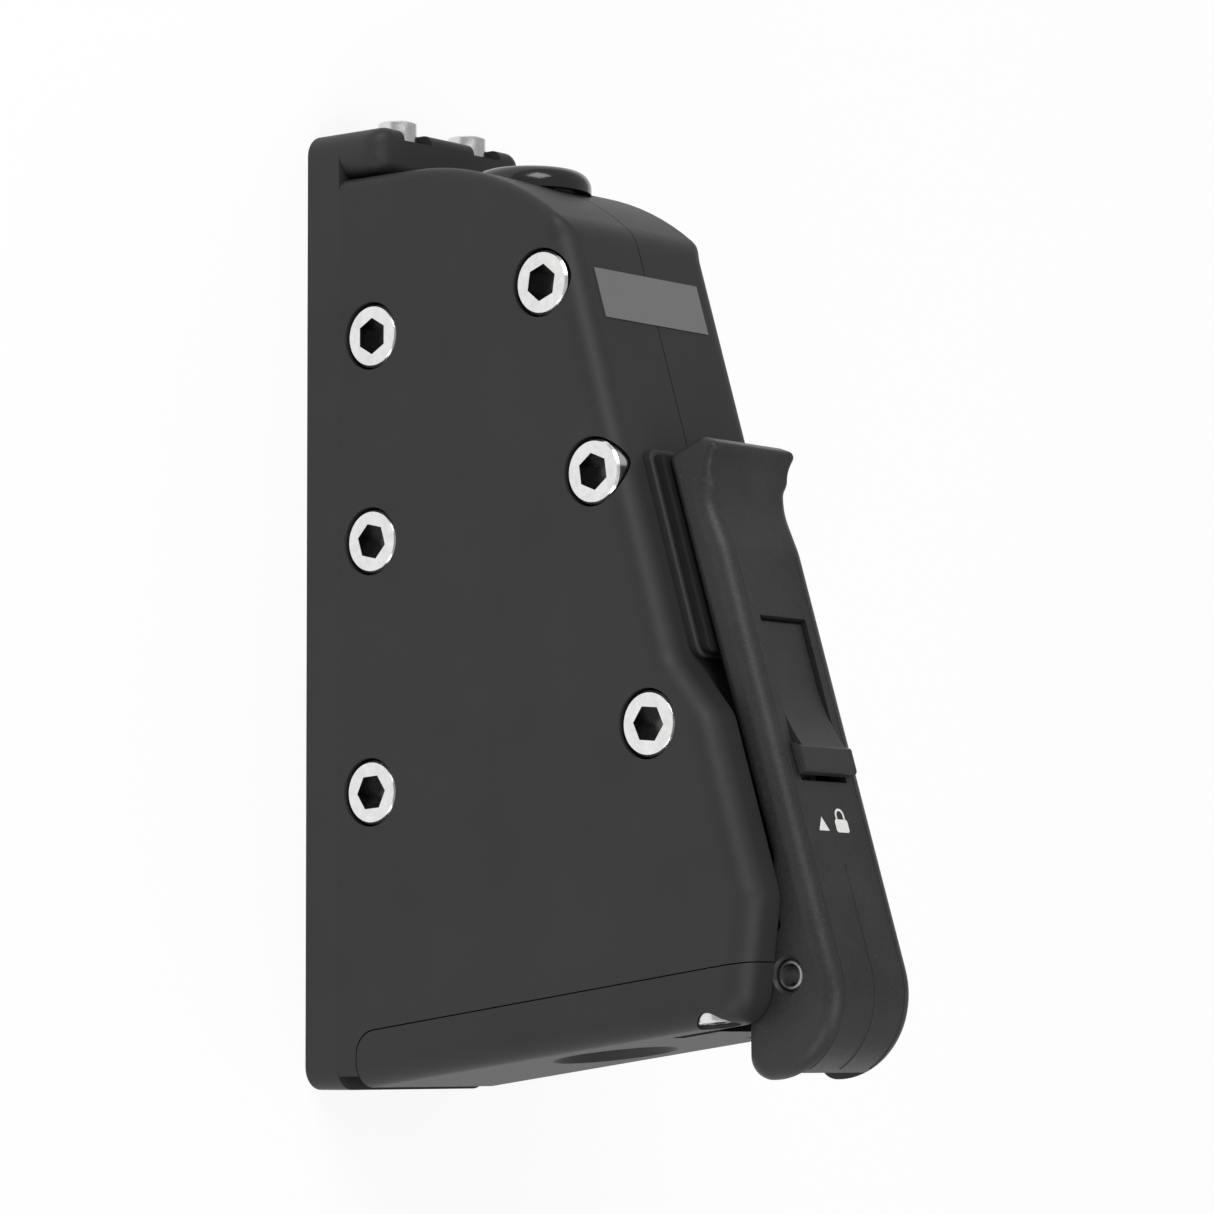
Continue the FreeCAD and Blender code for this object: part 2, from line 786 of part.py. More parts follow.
def make_lifting_arms():
    """Pair of arms on the jaw whose hooks lie over the crank pins."""
    (x2, z2), (xa, za) = jaw_pins[1], arm_pin()
    path = hook_path()
    clear = crank_pin_r + hook_clear
    left = min(x for x, z in path) - clear
    top = max(z for x, z in path) + clear
    back = left - 3.8
    tip_x = pivot_x - spacer_r - 0.9
    points = [
        (x2 - 6.5, z2 - 2.0, 4.0),
        (back, top - 14.0, 6.0),
        (back, under_web(back), 2.5),
        (tip_x, under_web(tip_x), 1.5),
        (tip_x, path[0][1] - 3.0, 1.5),
        (left + 1.5, path[0][1] - 9.0, 5.0),
        (xa + 6.0, za + 2.0, 4.0),
        (xa + 4.0, za - 6.0, 4.0),
        (x2 - 3.0, z2 - 8.0, 4.0),
    ]
    arm = prism(points, arm_inner, arm_inner + arm_thick)
    for x, z in path:
        arm = arm.cut(cyl_y(x, z, clear, 0, half))
    for (ax, az), (bx, bz) in zip(path[:-1], path[1:]):
        arm = arm.cut(stadium_bar(ax, az, bx, bz, clear))
    for k in range(hook_steps + 1):
        dx, dz = jaw_shift(k / hook_steps)
        arm = arm.cut(cyl_y(pivot_x - dx, pivot_z - dz, spacer_r + hook_clear, 0, half))
    ax, az = path[0]
    arm = arm.cut(box(ax - clear, ax + 30.0, 0, half, az - 30.0, az))
    arm = arm.cut(box(ax, ax + 30.0, 0, half, az - 30.0, az + clear))
    for x, z in (jaw_pins[1], arm_pin()):
        arm = arm.cut(cyl_y(x, z, pin_r + 0.05, 0, half))
    solids = sorted(arm.Solids, key=lambda s: -s.Volume)[:1]
    return Part.makeCompound(both_sides(solids[0]))


def under_web(x):
    """Height just below the closed handle's web at x."""
    return handle_front(x) - web_thick * 1.05 - 0.8


def stadium_bar(ax, az, bx, bz, r):
    """Bar of half-width r between two points, across +Y."""
    length = math.hypot(bx - ax, bz - az)
    nx, nz = -(bz - az) / length * r, (bx - ax) / length * r
    corners = [Vector(ax + nx, 0, az + nz), Vector(bx + nx, 0, bz + nz), Vector(bx - nx, 0, bz - nz),
               Vector(ax - nx, 0, az - nz), Vector(ax + nx, 0, az + nz)]
    return Part.Face(Part.makePolygon(corners)).extrude(Vector(0, half, 0))


def make_link(index, side):
    """One parallel link, from a fixed pin to a jaw pin."""
    (fx, fz), (jx, jz) = link_pivots[index], jaw_pins[index]
    y0, y1 = link_inner, link_inner + link_thick
    link = merge([cyl_y(fx, fz, link_eye_r, y0, y1), cyl_y(jx, jz, link_foot_r, y0, y1),
                  stadium_bar(fx, fz, jx, jz, link_foot_r * 0.85).common(box(-200, 200, y0, y1, 0, 260))])
    link = link.cut(cyl_y(fx, fz, link_pivot_r + 0.05, 0, half))
    link = link.cut(cyl_y(jx, jz, pin_r + 0.05, 0, half))
    return link if side > 0 else link.mirror(Vector(0, 0, 0), Vector(0, 1, 0))


def make_jaw_pins():
    """Pins through the jaw for the links and the lifting arms."""
    reach = cavity_half - 0.3
    pins = [cyl_y(x, z, pin_r, -reach, reach) for x, z in jaw_pins]
    x, z = arm_pin()
    pins.append(cyl_y(x, z, pin_r, -upper_jaw_half, upper_jaw_half))
    return Part.makeCompound(pins)


def make_pin_clips():
    """Retaining rings outside the links."""
    clips = []
    start = link_inner + link_thick + clip_gap
    for x, z in jaw_pins:
        ring = cyl_y(x, z, clip_r, start, start + clip_thick)
        clips += both_sides(ring.cut(cyl_y(x, z, pin_r + 0.05, 0, half)))
    return Part.makeCompound(clips)


def make_jaw_spring():
    """Compression spring between the casing's roof and the upper jaw."""
    bottom = spring_seat + spring_wire_r + 0.05
    top = front(spring_x - spring_coil_r) - front_wall * normal_scale - spring_wire_r - 0.5
    height = top - bottom
    helix = Part.makeHelix(height / spring_turns, height, spring_coil_r)
    section = Part.Circle(Vector(spring_coil_r, 0, 0), Vector(0, 1, 0), spring_wire_r).toShape()
    coil = Part.Wire(helix).makePipeShell([Part.Wire(section)], True, True)
    coil.translate(Vector(spring_x, 0, bottom))
    return coil


# ---- handle
def handle_outline():
    """Side outline of the closed handle, with a thumb scoop behind its tip."""
    tip_x = handle_tip_x
    scoop = [(-0.3, 1.2, 2.5), (1.6, lip_rise, 1.6), (6.1, 1.5, 8.0), (16.1, -scoop_depth, 18.0), (27.0, 0, 18.0)]
    tip = [(tip_x + s, handle_front(tip_x + s) + h, r) for s, h, r in scoop]
    return [
        (tip_x + 3.6, handle_rear(tip_x + 3.6) - 0.4, 2.5),
        *tip,
        (handle_tail_x, handle_front(handle_tail_x), handle_tail_r),
        (handle_tail_x, cheek_bottom, 6.0),
        (78.0, cheek_bottom, 5.0),
        (70.0, handle_rear(70.0), 6.0),
    ]


def both_sides_list(shape):
    """A shape and its mirror image across the middle plane."""
    return [shape, shape.mirror(Vector(0, 0, 0), Vector(0, 1, 0))]


def cheek_recesses():
    """Shallow slots in the outer faces of the cheeks, open towards the casing."""
    x, z = recess_end
    slot = cyl_y(x, z, recess_r, handle_half - recess_deep, half)
    slot = slot.fuse(box(x - recess_long, x, handle_half - recess_deep, half, z - recess_r, z + recess_r))
    slot.rotate(Vector(x, 0, z), Vector(0, 1, 0), -math.degrees(math.atan(handle_front_rise)))
    return both_sides_list(slot)


def handle_soft_from(x):
    """Height above which the closed handle's side edges are rounded."""
    return 0.0 if x > handle_tail_x - 12.0 else handle_front(x) - 7.5


def handle_edge_at(x, z):
    """Rounding of the handle's side edges: tighter at the tip."""
    return handle_tip_edge_r if x < handle_tip_x + 12.0 else handle_edge_r


def make_handle():
    """Channel-shaped handle with two cheeks, a thumb scoop and a slider window."""
    solid = prism(handle_outline(), -handle_half, handle_half)
    solid = fillet_sides(solid, handle_half, handle_soft_from, handle_edge_at)
    inner = handle_half - cheek_thick
    room = [
        (tip_block_end, 60.0, 0),
        (tip_block_end, handle_front(tip_block_end) - web_thick * 1.05, 3.0),
        (handle_tail_x - web_thick, handle_front(handle_tail_x - web_thick) - web_thick * 1.05,
         handle_tail_r - web_thick),
        (handle_tail_x - web_thick, 60.0, 0),
    ]
    solid = solid.cut(prism(room, -inner, inner))
    lip_cut = box(pivot_x, 140.0, -inner, inner, 60.0, pivot_z + tail_web_end)
    solid = solid.cut(lip_cut)
    window = along_handle([(0, -20.0, 0), (0, 12.0, 0), (slider_length + window_beyond, 12.0, 0),
                           (slider_length + window_beyond, -20.0, 0)], -window_half, window_half)
    solid = solid.cut(window)
    skin = handle_half - cheek_skin
    solid = solid.cut(cyl_y(pivot_x, pivot_z, handle_bush_r + 0.05, -skin, skin))
    mouth = cyl_y(pivot_x, pivot_z, pivot_pin_r + pin_clear, -half, half)
    solid = solid.cut(mouth)
    flare = Part.makeCone(pivot_pin_r + pin_clear, pivot_pin_r + pin_clear + mouth_flare, mouth_flare,
                          Vector(pivot_x, handle_half - mouth_flare, pivot_z), Vector(0, 1, 0))
    for cone in both_sides_list(flare):
        solid = solid.cut(cone)
    for recess in cheek_recesses():
        solid = solid.cut(recess)
    cx, cz = crank_at(0)
    solid = solid.cut(cyl_y(cx, cz, crank_pin_r + 0.05, -handle_half + 1.2, handle_half - 1.2))
    return solid


def make_handle_pivot():
    """Pivot pin, the bushes in the cheeks and the spacers beside the rib."""
    reach = handle_half - pin_recess
    pin = cyl_y(pivot_x, pivot_z, pivot_pin_r, -reach, reach)
    ends = [e for e in pin.Edges if abs(abs(e.CenterOfMass.y) - reach) < 1e-6]
    pin = pin.makeChamfer(0.6, ends).cut(cyl_y(pivot_x, pivot_z, pin_bore_r, -half, half))
    inner = handle_half - cheek_thick
    bush = cyl_y(pivot_x, pivot_z, handle_bush_r, inner, handle_half - cheek_skin - 0.1)
    bush = bush.cut(cyl_y(pivot_x, pivot_z, pivot_pin_r + 0.05, 0, half))
    spacer = cyl_y(pivot_x, pivot_z, spacer_r, rib_half + 0.15, inner - 0.3)
    spacer = spacer.cut(cyl_y(pivot_x, pivot_z, pivot_pin_r + 0.05, 0, half))
    return pin, Part.makeCompound(both_sides(bush)), Part.makeCompound(both_sides(spacer))


def make_crank_pins():
    """Stub pins in the cheeks that lift the hooks."""
    x, z = crank_at(0)
    stub = cyl_y(x, z, crank_pin_r, rib_half + 0.7, handle_half - 1.25)
    return Part.makeCompound(both_sides(stub))


def along_handle(points, y0, y1):
    """Prism from (distance along the handle, height above its front face) points."""
    rise = math.hypot(1.0, handle_front_rise)
    ux, uz = 1 / rise, handle_front_rise / rise
    x0, z0 = window_start, handle_front(window_start)
    real = [(x0 + s * ux - h * uz, z0 + s * uz + h * ux, r) for s, h, r in points]
    return prism(real, y0, y1)


def rivet_shape(r, length, head_r, head_h, place_s):
    """Rivet along the slider's normal, from the latch plate up into the slider."""
    rise = math.hypot(1.0, handle_front_rise)
    normal = Vector(-handle_front_rise, 0, 1).normalize()
    x = window_start + place_s / rise
    origin = Vector(x, 0, handle_front(x))
    low = -web_thick - 3.5
    shank = Part.makeCylinder(r, length, origin + normal * low, normal)
    if head_r <= 0:
        return shank
    return merge([shank, Part.makeCylinder(head_r, head_h, origin + normal * (low - head_h + 0.001), normal)])


def make_lock_slider():
    """Slider with a sunk tongue that rises to a thumb lip."""
    start = slider_gap
    finish = slider_length
    body_end = finish - slider_overhang
    floor = -web_thick - 0.4
    body = along_handle([
        (start, floor, 0), (start, -tongue_sunk, 0.8), (finish - lip_length - tongue_reach, -tongue_sunk, 50.0),
        (finish - lip_length + 2.6, lip_proud, 1.2), (finish, lip_proud, 1.4), (finish, 0.3, 0), (body_end, 0.3, 0), (body_end, floor, 0),
    ], -window_half + slider_gap, window_half - slider_gap)
    lip = along_handle([
        (finish - lip_length, 0.3, 0), (finish - lip_length + 1.8, lip_proud, 0.9), (finish, lip_proud, 1.0),
        (finish, 0.3, 0)], -lip_half, lip_half)
    flange = along_handle([(start, floor - 1.5, 0), (start, floor, 0), (body_end, floor, 0),
                           (body_end, floor - 1.5, 0)], -window_half - 1.9, window_half + 1.9)
    slider = merge([body, lip, flange])
    for place_s in rivet_places:
        slider = slider.cut(rivet_shape(rivet_r + 0.05, 5.5, 0, 0, place_s))
    return slider


def make_lock_bolt():
    """Steel latch plate under the slider, and its two rivets."""
    top = -web_thick - 2.0
    finish = slider_length + 4.0
    plate = along_handle([(6.0, top - 1.5, 0), (6.0, top, 0), (finish, top, 0), (finish, top - 1.5, 0)], -6.0, 6.0)
    rivets = []
    for place_s in rivet_places:
        plate = plate.cut(rivet_shape(rivet_r + 0.05, 5.5, 0, 0, place_s))
        rivets.append(rivet_shape(rivet_r, 5.0, 2.6, 1.0, place_s))
    return plate, Part.makeCompound(rivets)


def make_lock_catch():
    """Catch on the casing that the latch plate slides under, and its screw."""
    top = -web_thick - 2.0
    stem_start = slider_length + 4.0 + slider_travel + 1.0
    foot_h = front_on_handle() + 0.2
    return along_handle([
        (stem_start, foot_h, 0), (stem_start, top + 0.3, 0), (stem_start - 4.5, top + 0.3, 0),
        (stem_start - 4.5, top + 1.6, 0), (stem_start + 3.0, top + 1.6, 0.5), (stem_start + 3.0, foot_h, 0),
    ], -4.4, 4.4)


def front_on_handle():
    """Height of the casing's front face below the handle's front face near the catch."""
    rise = math.hypot(1.0, handle_front_rise)
    x = window_start + (slider_length + 10.0) / rise
    return (front(x) - handle_front(x)) / rise


def pad_layer(inset, low, high, corner):
    """Layer of the rest pad between two heights above the front face."""
    start, finish = pad_start + inset, pad_end - inset
    points = [(x, front(x) + h, 0) for x, h in ((start, low), (start, high), (finish, high), (finish, low))]
    layer = prism(points, inset - pad_half, pad_half - inset)
    upright = [e for e in layer.Edges if abs(e.Length - (high - low)) < 1e-6]
    layer = layer.makeFillet(corner, upright)
    rim = [e for e in layer.Edges if e.CenterOfMass.z > front(e.CenterOfMass.x) + high - 1e-3]
    return layer.makeFillet(pad_edge, rim)


def make_pad_tray():
    """Hard tray on the casing's front that holds the rest pad."""
    return pad_layer(0.0, stuck_gap, tray_height, tray_corner)


def make_rest_pad():
    """Rubber pad between the closed handle's tip and the casing."""
    return pad_layer(pad_inset, tray_height + stuck_gap, pad_height, tray_corner - pad_inset)


def make_label():
    """Thin blank plate stuck on the front face."""
    return prism([(label_start, front(label_start) + stuck_gap, 0),
                  (label_start, front(label_start) + label_thick, 0),
                  (label_end, front(label_end) + label_thick, 0),
                  (label_end, front(label_end) + stuck_gap, 0)], -label_half, label_half)


def all_nodes():
    """Every named piece of the clutch."""
    outer = rounded_envelope()
    left, right = make_shells(outer)
    side_screws, side_nuts = make_side_screws()
    lug_screws, lug_inserts = make_lug_fasteners()
    cap_screws, cap_inserts = make_cap_fasteners()
    pivot_pin, handle_bushes, pivot_spacers = make_handle_pivot()
    lock_bolt, bolt_rivets = make_lock_bolt()
    nodes = {
        "base_plate": make_base_plate(),
        "left_shell": left,
        "right_shell": right,
        "end_cap": make_end_cap(outer),
        "entry_bush": make_entry_bush(),
        "side_screws": side_screws,
        "side_nuts": side_nuts,
        "link_pivots": make_link_pivots(),
        "lug_screws": lug_screws,
        "lug_inserts": lug_inserts,
        "cap_screws": cap_screws,
        "cap_inserts": cap_inserts,
        "lower_jaw": make_lower_jaw(),
        "upper_jaw": make_upper_jaw(),
        "jaw_pins": make_jaw_pins(),
        "pin_clips": make_pin_clips(),
        "lifting_arms": make_lifting_arms(),
        "jaw_spring": make_jaw_spring(),
        "handle": make_handle(),
        "pivot_pin": pivot_pin,
        "handle_bushes": handle_bushes,
        "pivot_spacers": pivot_spacers,
        "crank_pins": make_crank_pins(),
        "lock_slider": make_lock_slider(),
        "lock_bolt": lock_bolt,
        "bolt_rivets": bolt_rivets,
        "lock_catch": make_lock_catch(),
        "pad_tray": make_pad_tray(),
        "rest_pad": make_rest_pad(),
        "name_plate": make_label(),
    }
    for index, end in enumerate(("entry", "tail")):
        for side, word in ((-1, "left"), (1, "right")):
            nodes[f"{end}_link_{word}"] = make_link(index, side)
    return nodes


os.makedirs("parts", exist_ok=True)
for name, shape in all_nodes().items():
    print(name, len(shape.Solids), "solids", round(shape.Volume, 1), "mm3", shape.isValid())
    shape.exportStep(f"parts/{name}.step")
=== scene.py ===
"""Looks of a side-mounting rope clutch: finishes, trim pieces, floor, lights and camera.

Everything is in metres in the part's own frame: +X from the line's entry end to its tail end,
+Y across the casing, +Z away from the base plate.
"""

import logging
import math
from dataclasses import dataclass, field
from enum import Enum

import bpy
from mathutils import Matrix, Vector


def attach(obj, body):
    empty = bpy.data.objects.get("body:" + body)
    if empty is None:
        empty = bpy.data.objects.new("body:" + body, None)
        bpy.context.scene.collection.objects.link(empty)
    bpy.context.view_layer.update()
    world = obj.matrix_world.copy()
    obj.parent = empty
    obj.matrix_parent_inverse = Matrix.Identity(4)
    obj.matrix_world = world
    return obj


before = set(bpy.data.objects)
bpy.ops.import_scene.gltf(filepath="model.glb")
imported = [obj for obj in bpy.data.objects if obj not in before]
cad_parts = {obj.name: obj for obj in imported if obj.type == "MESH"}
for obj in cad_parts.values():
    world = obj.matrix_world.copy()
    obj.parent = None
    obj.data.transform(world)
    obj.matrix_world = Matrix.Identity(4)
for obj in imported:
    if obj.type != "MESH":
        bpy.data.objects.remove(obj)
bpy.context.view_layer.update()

logging.basicConfig(level=logging.INFO, format="%(name)s: %(message)s")
LOG = logging.getLogger("rope_clutch")

MM = 0.001

# Places and slopes that the trim pieces share with the solid model, in millimetres.
HANDLE_FRONT_AT_ZERO = 130.6
HANDLE_FRONT_RISE = 0.305
HANDLE_TAIL_X = 122.8
HANDLE_TAIL_R = 21.1
BACK_ROW = ((-69.8, 22.2), (-16.1, 22.2), (49.0, 22.2))
FRONT_ROW = ((-78.1, 79.5), (-28.7, 96.2), (35.2, 113.6))
LUG_AND_CAP = ((-14.0, 17.4), (14.0, 17.4), (-23.8, 131.0), (23.8, 131.0))


class Body(Enum):
    """Rigid bodies that the new pieces ride on."""

    HANDLE = "handle"


class Grain(Enum):
    """Kinds of fine surface texture, as noise scale per metre and bump depth in metres."""

    ANODISED = (2600.0, 0.000010)
    MOULDED = (1150.0, 0.000060)
    RUBBER = (1500.0, 0.000035)
    FILM = (3200.0, 0.000006)


class Graph:
    """Node tree of one material while it is being wired."""

    def __init__(self, name: str) -> None:
        """Start an empty tree with one output.

        Args:
            name: Name of the material.
        """
        self.material = bpy.data.materials.new(name)
        self.material.use_nodes = True
        self.tree = self.material.node_tree
        self.tree.nodes.clear()
        self.output = self.add("ShaderNodeOutputMaterial")
        self.coords = self.add("ShaderNodeTexCoord")

    def add(self, kind: str, **settings: object) -> bpy.types.Node:
        """Add a node.

        Args:
            kind: Node type.
            **settings: Attributes to set on the node.

        Returns:
            The new node.
        """
        node = self.tree.nodes.new(kind)
        for key, value in settings.items():
            setattr(node, key, value)
        return node

    def join(self, source: bpy.types.NodeSocket, target: bpy.types.NodeSocket) -> None:
        """Link one socket to another."""
        self.tree.links.new(source, target)

    def noise(self, scale: float, detail: float = 3.0, rough: float = 0.55,
              stretch: tuple[float, float, float] = (1.0, 1.0, 1.0)) -> bpy.types.NodeSocket:
        """Noise on object coordinates.

        Args:
            scale: Cells per metre.
            detail: Octaves of finer noise.
            rough: Weight of the finer octaves.
            stretch: Scale along each axis, for brushed looks.

        Returns:
            The factor socket.
        """
        mapping = self.add("ShaderNodeMapping")
        mapping.inputs["Scale"].default_value = stretch
        self.join(self.coords.outputs["Object"], mapping.inputs["Vector"])
        node = self.add("ShaderNodeTexNoise")
        node.inputs["Scale"].default_value = scale
        node.inputs["Detail"].default_value = detail
        node.inputs["Roughness"].default_value = rough
        self.join(mapping.outputs["Vector"], node.inputs["Vector"])
        return node.outputs["Fac"]

    def speckle(self, scale: float) -> bpy.types.NodeSocket:
        """Random value per small cell, for sparkle in a moulded or coated surface.

        Args:
            scale: Cells per metre.

        Returns:
            A grey value from 0 to 1 that is constant over each cell.
        """
        node = self.add("ShaderNodeTexVoronoi", feature="F1")
        node.inputs["Scale"].default_value = scale
        self.join(self.coords.outputs["Object"], node.inputs["Vector"])
        grey = self.add("ShaderNodeSeparateColor")
        self.join(node.outputs["Color"], grey.inputs["Color"])
        return grey.outputs["Red"]

    def remap(self, source: bpy.types.NodeSocket, low: float, high: float, out_low: float,
              out_high: float) -> bpy.types.NodeSocket:
        """Map a value range onto another, clamped.

        Args:
            source: Value to map.
            low: Value that gives out_low.
            high: Value that gives out_high.
            out_low: Result at low.
            out_high: Result at high.

        Returns:
            The mapped value.
        """
        node = self.add("ShaderNodeMapRange", clamp=True)
        for name, value in (("From Min", low), ("From Max", high), ("To Min", out_low), ("To Max", out_high)):
            node.inputs[name].default_value = value
        self.join(source, node.inputs["Value"])
        return node.outputs["Result"]

    def math(self, operation: str, a: object, b: object = 0.0) -> bpy.types.NodeSocket:
        """Combine two values.

        Args:
            operation: Math node operation.
            a: Socket or number.
            b: Socket or number.

        Returns:
            The result socket.
        """
        node = self.add("ShaderNodeMath", operation=operation)
        for index, value in enumerate((a, b)):
            if isinstance(value, (int, float)):
                node.inputs[index].default_value = value
            else:
                self.join(value, node.inputs[index])
        return node.outputs["Value"]

    def blend(self, factor: bpy.types.NodeSocket, a: tuple[float, float, float],
              b: tuple[float, float, float]) -> bpy.types.NodeSocket:
        """Mix two colours.

        Args:
            factor: 0 gives a, 1 gives b.
            a: First colour.
            b: Second colour.

        Returns:
            The colour socket.
        """
        node = self.add("ShaderNodeMix", data_type="RGBA")
        node.inputs["A"].default_value = (*a, 1.0)
        node.inputs["B"].default_value = (*b, 1.0)
        self.join(factor, node.inputs["Factor"])
        return node.outputs["Result"]

    def bump(self, height: bpy.types.NodeSocket, depth: float,
             under: bpy.types.NodeSocket | None = None) -> bpy.types.NodeSocket:
        """Turn a height into a normal.

        Args:
            height: Height from 0 to 1.
            depth: Real depth of that height in metres.
            under: Normal of a coarser bump below this one.

        Returns:
            The normal socket.
        """
        node = self.add("ShaderNodeBump")
        node.inputs["Strength"].default_value = 1.0
        node.inputs["Distance"].default_value = depth
        self.join(height, node.inputs["Height"])
        if under is not None:
            self.join(under, node.inputs["Normal"])
        return node.outputs["Normal"]

    def shader(self, **constants: object) -> bpy.types.Node:
        """Add the surface shader and wire it to the output.

        Args:
            **constants: Socket names with spaces as underscores, and their values.

        Returns:
            The shader node.
        """
        node = self.add("ShaderNodeBsdfPrincipled")
        for key, value in constants.items():
            node.inputs[key.replace("_", " ")].default_value = value
        self.join(node.outputs["BSDF"], self.output.inputs["Surface"])
        return node


@dataclass(frozen=True)
class DarkCoat:
    """Matte dark finish of an anodised or moulded piece, with fine grain and slight variation."""

    name: str
    shade: float
    grain: Grain
    rough: float = 0.55
    variation: float = 0.10
    sparkle: float = 0.0
    specular: float = 0.4

    def build(self) -> bpy.types.Material:
        """Build the material.

        Returns:
            The finished material.
        """
        graph = Graph(self.name)
        scale, depth = self.grain.value
        shader = graph.shader(Specular_IOR_Level=self.specular)
        cloud = graph.noise(38.0, 2.0)
        fine = graph.noise(scale, 3.0, 0.6)
        low = self.shade * (1.0 - self.variation)
        high = self.shade * (1.0 + self.variation)
        tone = graph.remap(cloud, 0.35, 0.65, 0.0, 0.6)
        grit = graph.remap(fine, 0.3, 0.7, 0.0, 0.4)
        total = graph.math("ADD", tone, grit)
        if self.sparkle > 0:
            glint = graph.remap(graph.speckle(scale * 1.7), 0.93, 1.0, 0.0, self.sparkle)
            total = graph.math("ADD", total, glint)
        graph.join(graph.blend(total, (low, low, low * 1.01), (high, high, high * 1.01)),
                   shader.inputs["Base Color"])
        rough = graph.remap(fine, 0.3, 0.7, self.rough - 0.05, self.rough + 0.07)
        graph.join(rough, shader.inputs["Roughness"])
        coarse = graph.bump(graph.noise(scale * 0.35, 2.0), depth)
        graph.join(graph.bump(fine, depth, coarse), shader.inputs["Normal"])
        return graph.material


@dataclass(frozen=True)
class TurnedSteel:
    """Bright turned steel, with faint rings about the screws' axes and painted shade in the sockets."""

    name: str
    shade: float = 0.72
    rough: float = 0.24
    centres: tuple[tuple[float, float], ...] = ()
    across: str = "X"
    # Painted shade in the sockets: its radius, how dark it is, and how far below the head's face (|Y| = face,
    # 0 for no depth limit) it begins.
    socket_r: float = 4.95
    socket_painted_shade: float = 0.16
    socket_step: float = 0.25
    face: float = 29.5
    ring_pitch: float = 0.35 * MM

    def radius(self, graph: Graph, parts: bpy.types.Node) -> bpy.types.NodeSocket:
        """Distance from the nearest screw axis.

        Args:
            graph: Tree to add to.
            parts: Node that gives the separate coordinates.

        Returns:
            The distance in metres.
        """
        nearest = None
        for u, z in self.centres:
            du = graph.math("SUBTRACT", parts.outputs[self.across], u * MM)
            dz = graph.math("SUBTRACT", parts.outputs["Z"], z * MM)
            square = graph.math("ADD", graph.math("MULTIPLY", du, du), graph.math("MULTIPLY", dz, dz))
            nearest = square if nearest is None else graph.math("MINIMUM", nearest, square)
        return graph.math("SQRT", nearest)

    def socket(self, graph: Graph, radius: bpy.types.NodeSocket,
               parts: bpy.types.Node) -> bpy.types.NodeSocket:
        """Mask of the socket's inside, where the steel gets painted shade.

        Args:
            graph: Tree to add to.
            radius: Distance from the nearest axis.
            parts: Node that gives the separate coordinates.

        Returns:
            1 inside a socket, 0 on the head.
        """
        inside = graph.math("LESS_THAN", radius, self.socket_r * MM)
        if self.face > 0:
            depth = graph.math("ABSOLUTE", parts.outputs["Y"])
            sunk = graph.math("LESS_THAN", depth, (self.face - self.socket_step) * MM)
            inside = graph.math("MULTIPLY", inside, sunk)
        return inside

    def build(self) -> bpy.types.Material:
        """Build the material.

        Returns:
            The finished material.
        """
        graph = Graph(self.name)
        shader = graph.shader(Metallic=1.0)
        smear = graph.noise(420.0, 3.0)
        tone = graph.remap(smear, 0.3, 0.7, 0.0, 1.0)
        low, high = self.shade * 0.90, self.shade * 1.06
        colour = graph.blend(tone, (low, low, low * 0.99), (high, high, high * 0.995))
        fine = graph.bump(graph.noise(2600.0, 2.0), 0.000004)
        if self.centres:
            parts = graph.add("ShaderNodeSeparateXYZ")
            graph.join(graph.coords.outputs["Object"], parts.inputs["Vector"])
            radius = self.radius(graph, parts)
            wave = graph.math("SINE", graph.math("MULTIPLY", radius, 2 * math.pi / self.ring_pitch))
            fine = graph.bump(graph.remap(wave, -1.0, 1.0, 0.0, 1.0), 0.000010, fine)
            # Painted shade: inside each socket the steel's colour is scaled down to a fraction of itself.
            shade = graph.remap(self.socket(graph, radius, parts), 0.0, 1.0, 1.0, self.socket_painted_shade)
            dim = graph.add("ShaderNodeVectorMath", operation="SCALE")
            graph.join(colour, dim.inputs[0])
            graph.join(shade, dim.inputs["Scale"])
            colour = dim.outputs["Vector"]
        graph.join(colour, shader.inputs["Base Color"])
        rough = graph.remap(smear, 0.3, 0.7, self.rough - 0.06, self.rough + 0.08)
        graph.join(rough, shader.inputs["Roughness"])
        graph.join(fine, shader.inputs["Normal"])
        return graph.material


@dataclass(frozen=True)
class PrintInk:
    """Pale printed ink with slightly worn cover."""

    name: str
    shade: float = 0.72

    def build(self) -> bpy.types.Material:
        """Build the material.

        Returns:
            The finished material.
        """
        graph = Graph(self.name)
        shader = graph.shader(Specular_IOR_Level=0.35)
        wear = graph.remap(graph.noise(1800.0, 4.0, 0.7), 0.30, 0.48, 0.0, 1.0)
        worn = self.shade * 0.72
        graph.join(graph.blend(wear, (worn, worn, worn * 0.99), (self.shade, self.shade, self.shade * 0.98)),
                   shader.inputs["Base Color"])
        graph.join(graph.remap(wear, 0.0, 1.0, 0.6, 0.45), shader.inputs["Roughness"])
        return graph.material


CASING_COAT = DarkCoat("casing_coat", 0.024, Grain.ANODISED, rough=0.50, variation=0.08, specular=0.28)
PLATE_COAT = DarkCoat("plate_coat", 0.026, Grain.ANODISED, rough=0.50, variation=0.08, specular=0.28)
CAP_COAT = DarkCoat("cap_coat", 0.023, Grain.ANODISED, rough=0.50, variation=0.08, specular=0.28)
JAW_COAT = DarkCoat("jaw_coat", 0.10, Grain.ANODISED, rough=0.42, variation=0.14)
HANDLE_NYLON = DarkCoat("handle_nylon", 0.024, Grain.MOULDED, rough=0.42, variation=0.26, sparkle=0.9,
                        specular=0.3)
SLIDER_NYLON = DarkCoat("slider_nylon", 0.027, Grain.MOULDED, rough=0.42, variation=0.22, sparkle=0.7,
                        specular=0.3)
BEARING_BLACK = DarkCoat("bearing_black", 0.018, Grain.ANODISED, rough=0.35)
BUSH_GLOSS = DarkCoat("bush_gloss", 0.010, Grain.FILM, rough=0.16, variation=0.2, specular=0.5)
PAD_RUBBER = DarkCoat("pad_rubber", 0.008, Grain.RUBBER, rough=0.72, variation=0.2, specular=0.2)
LABEL_FILM = DarkCoat("label_film", 0.140, Grain.FILM, rough=0.42, variation=0.05, sparkle=0.3)
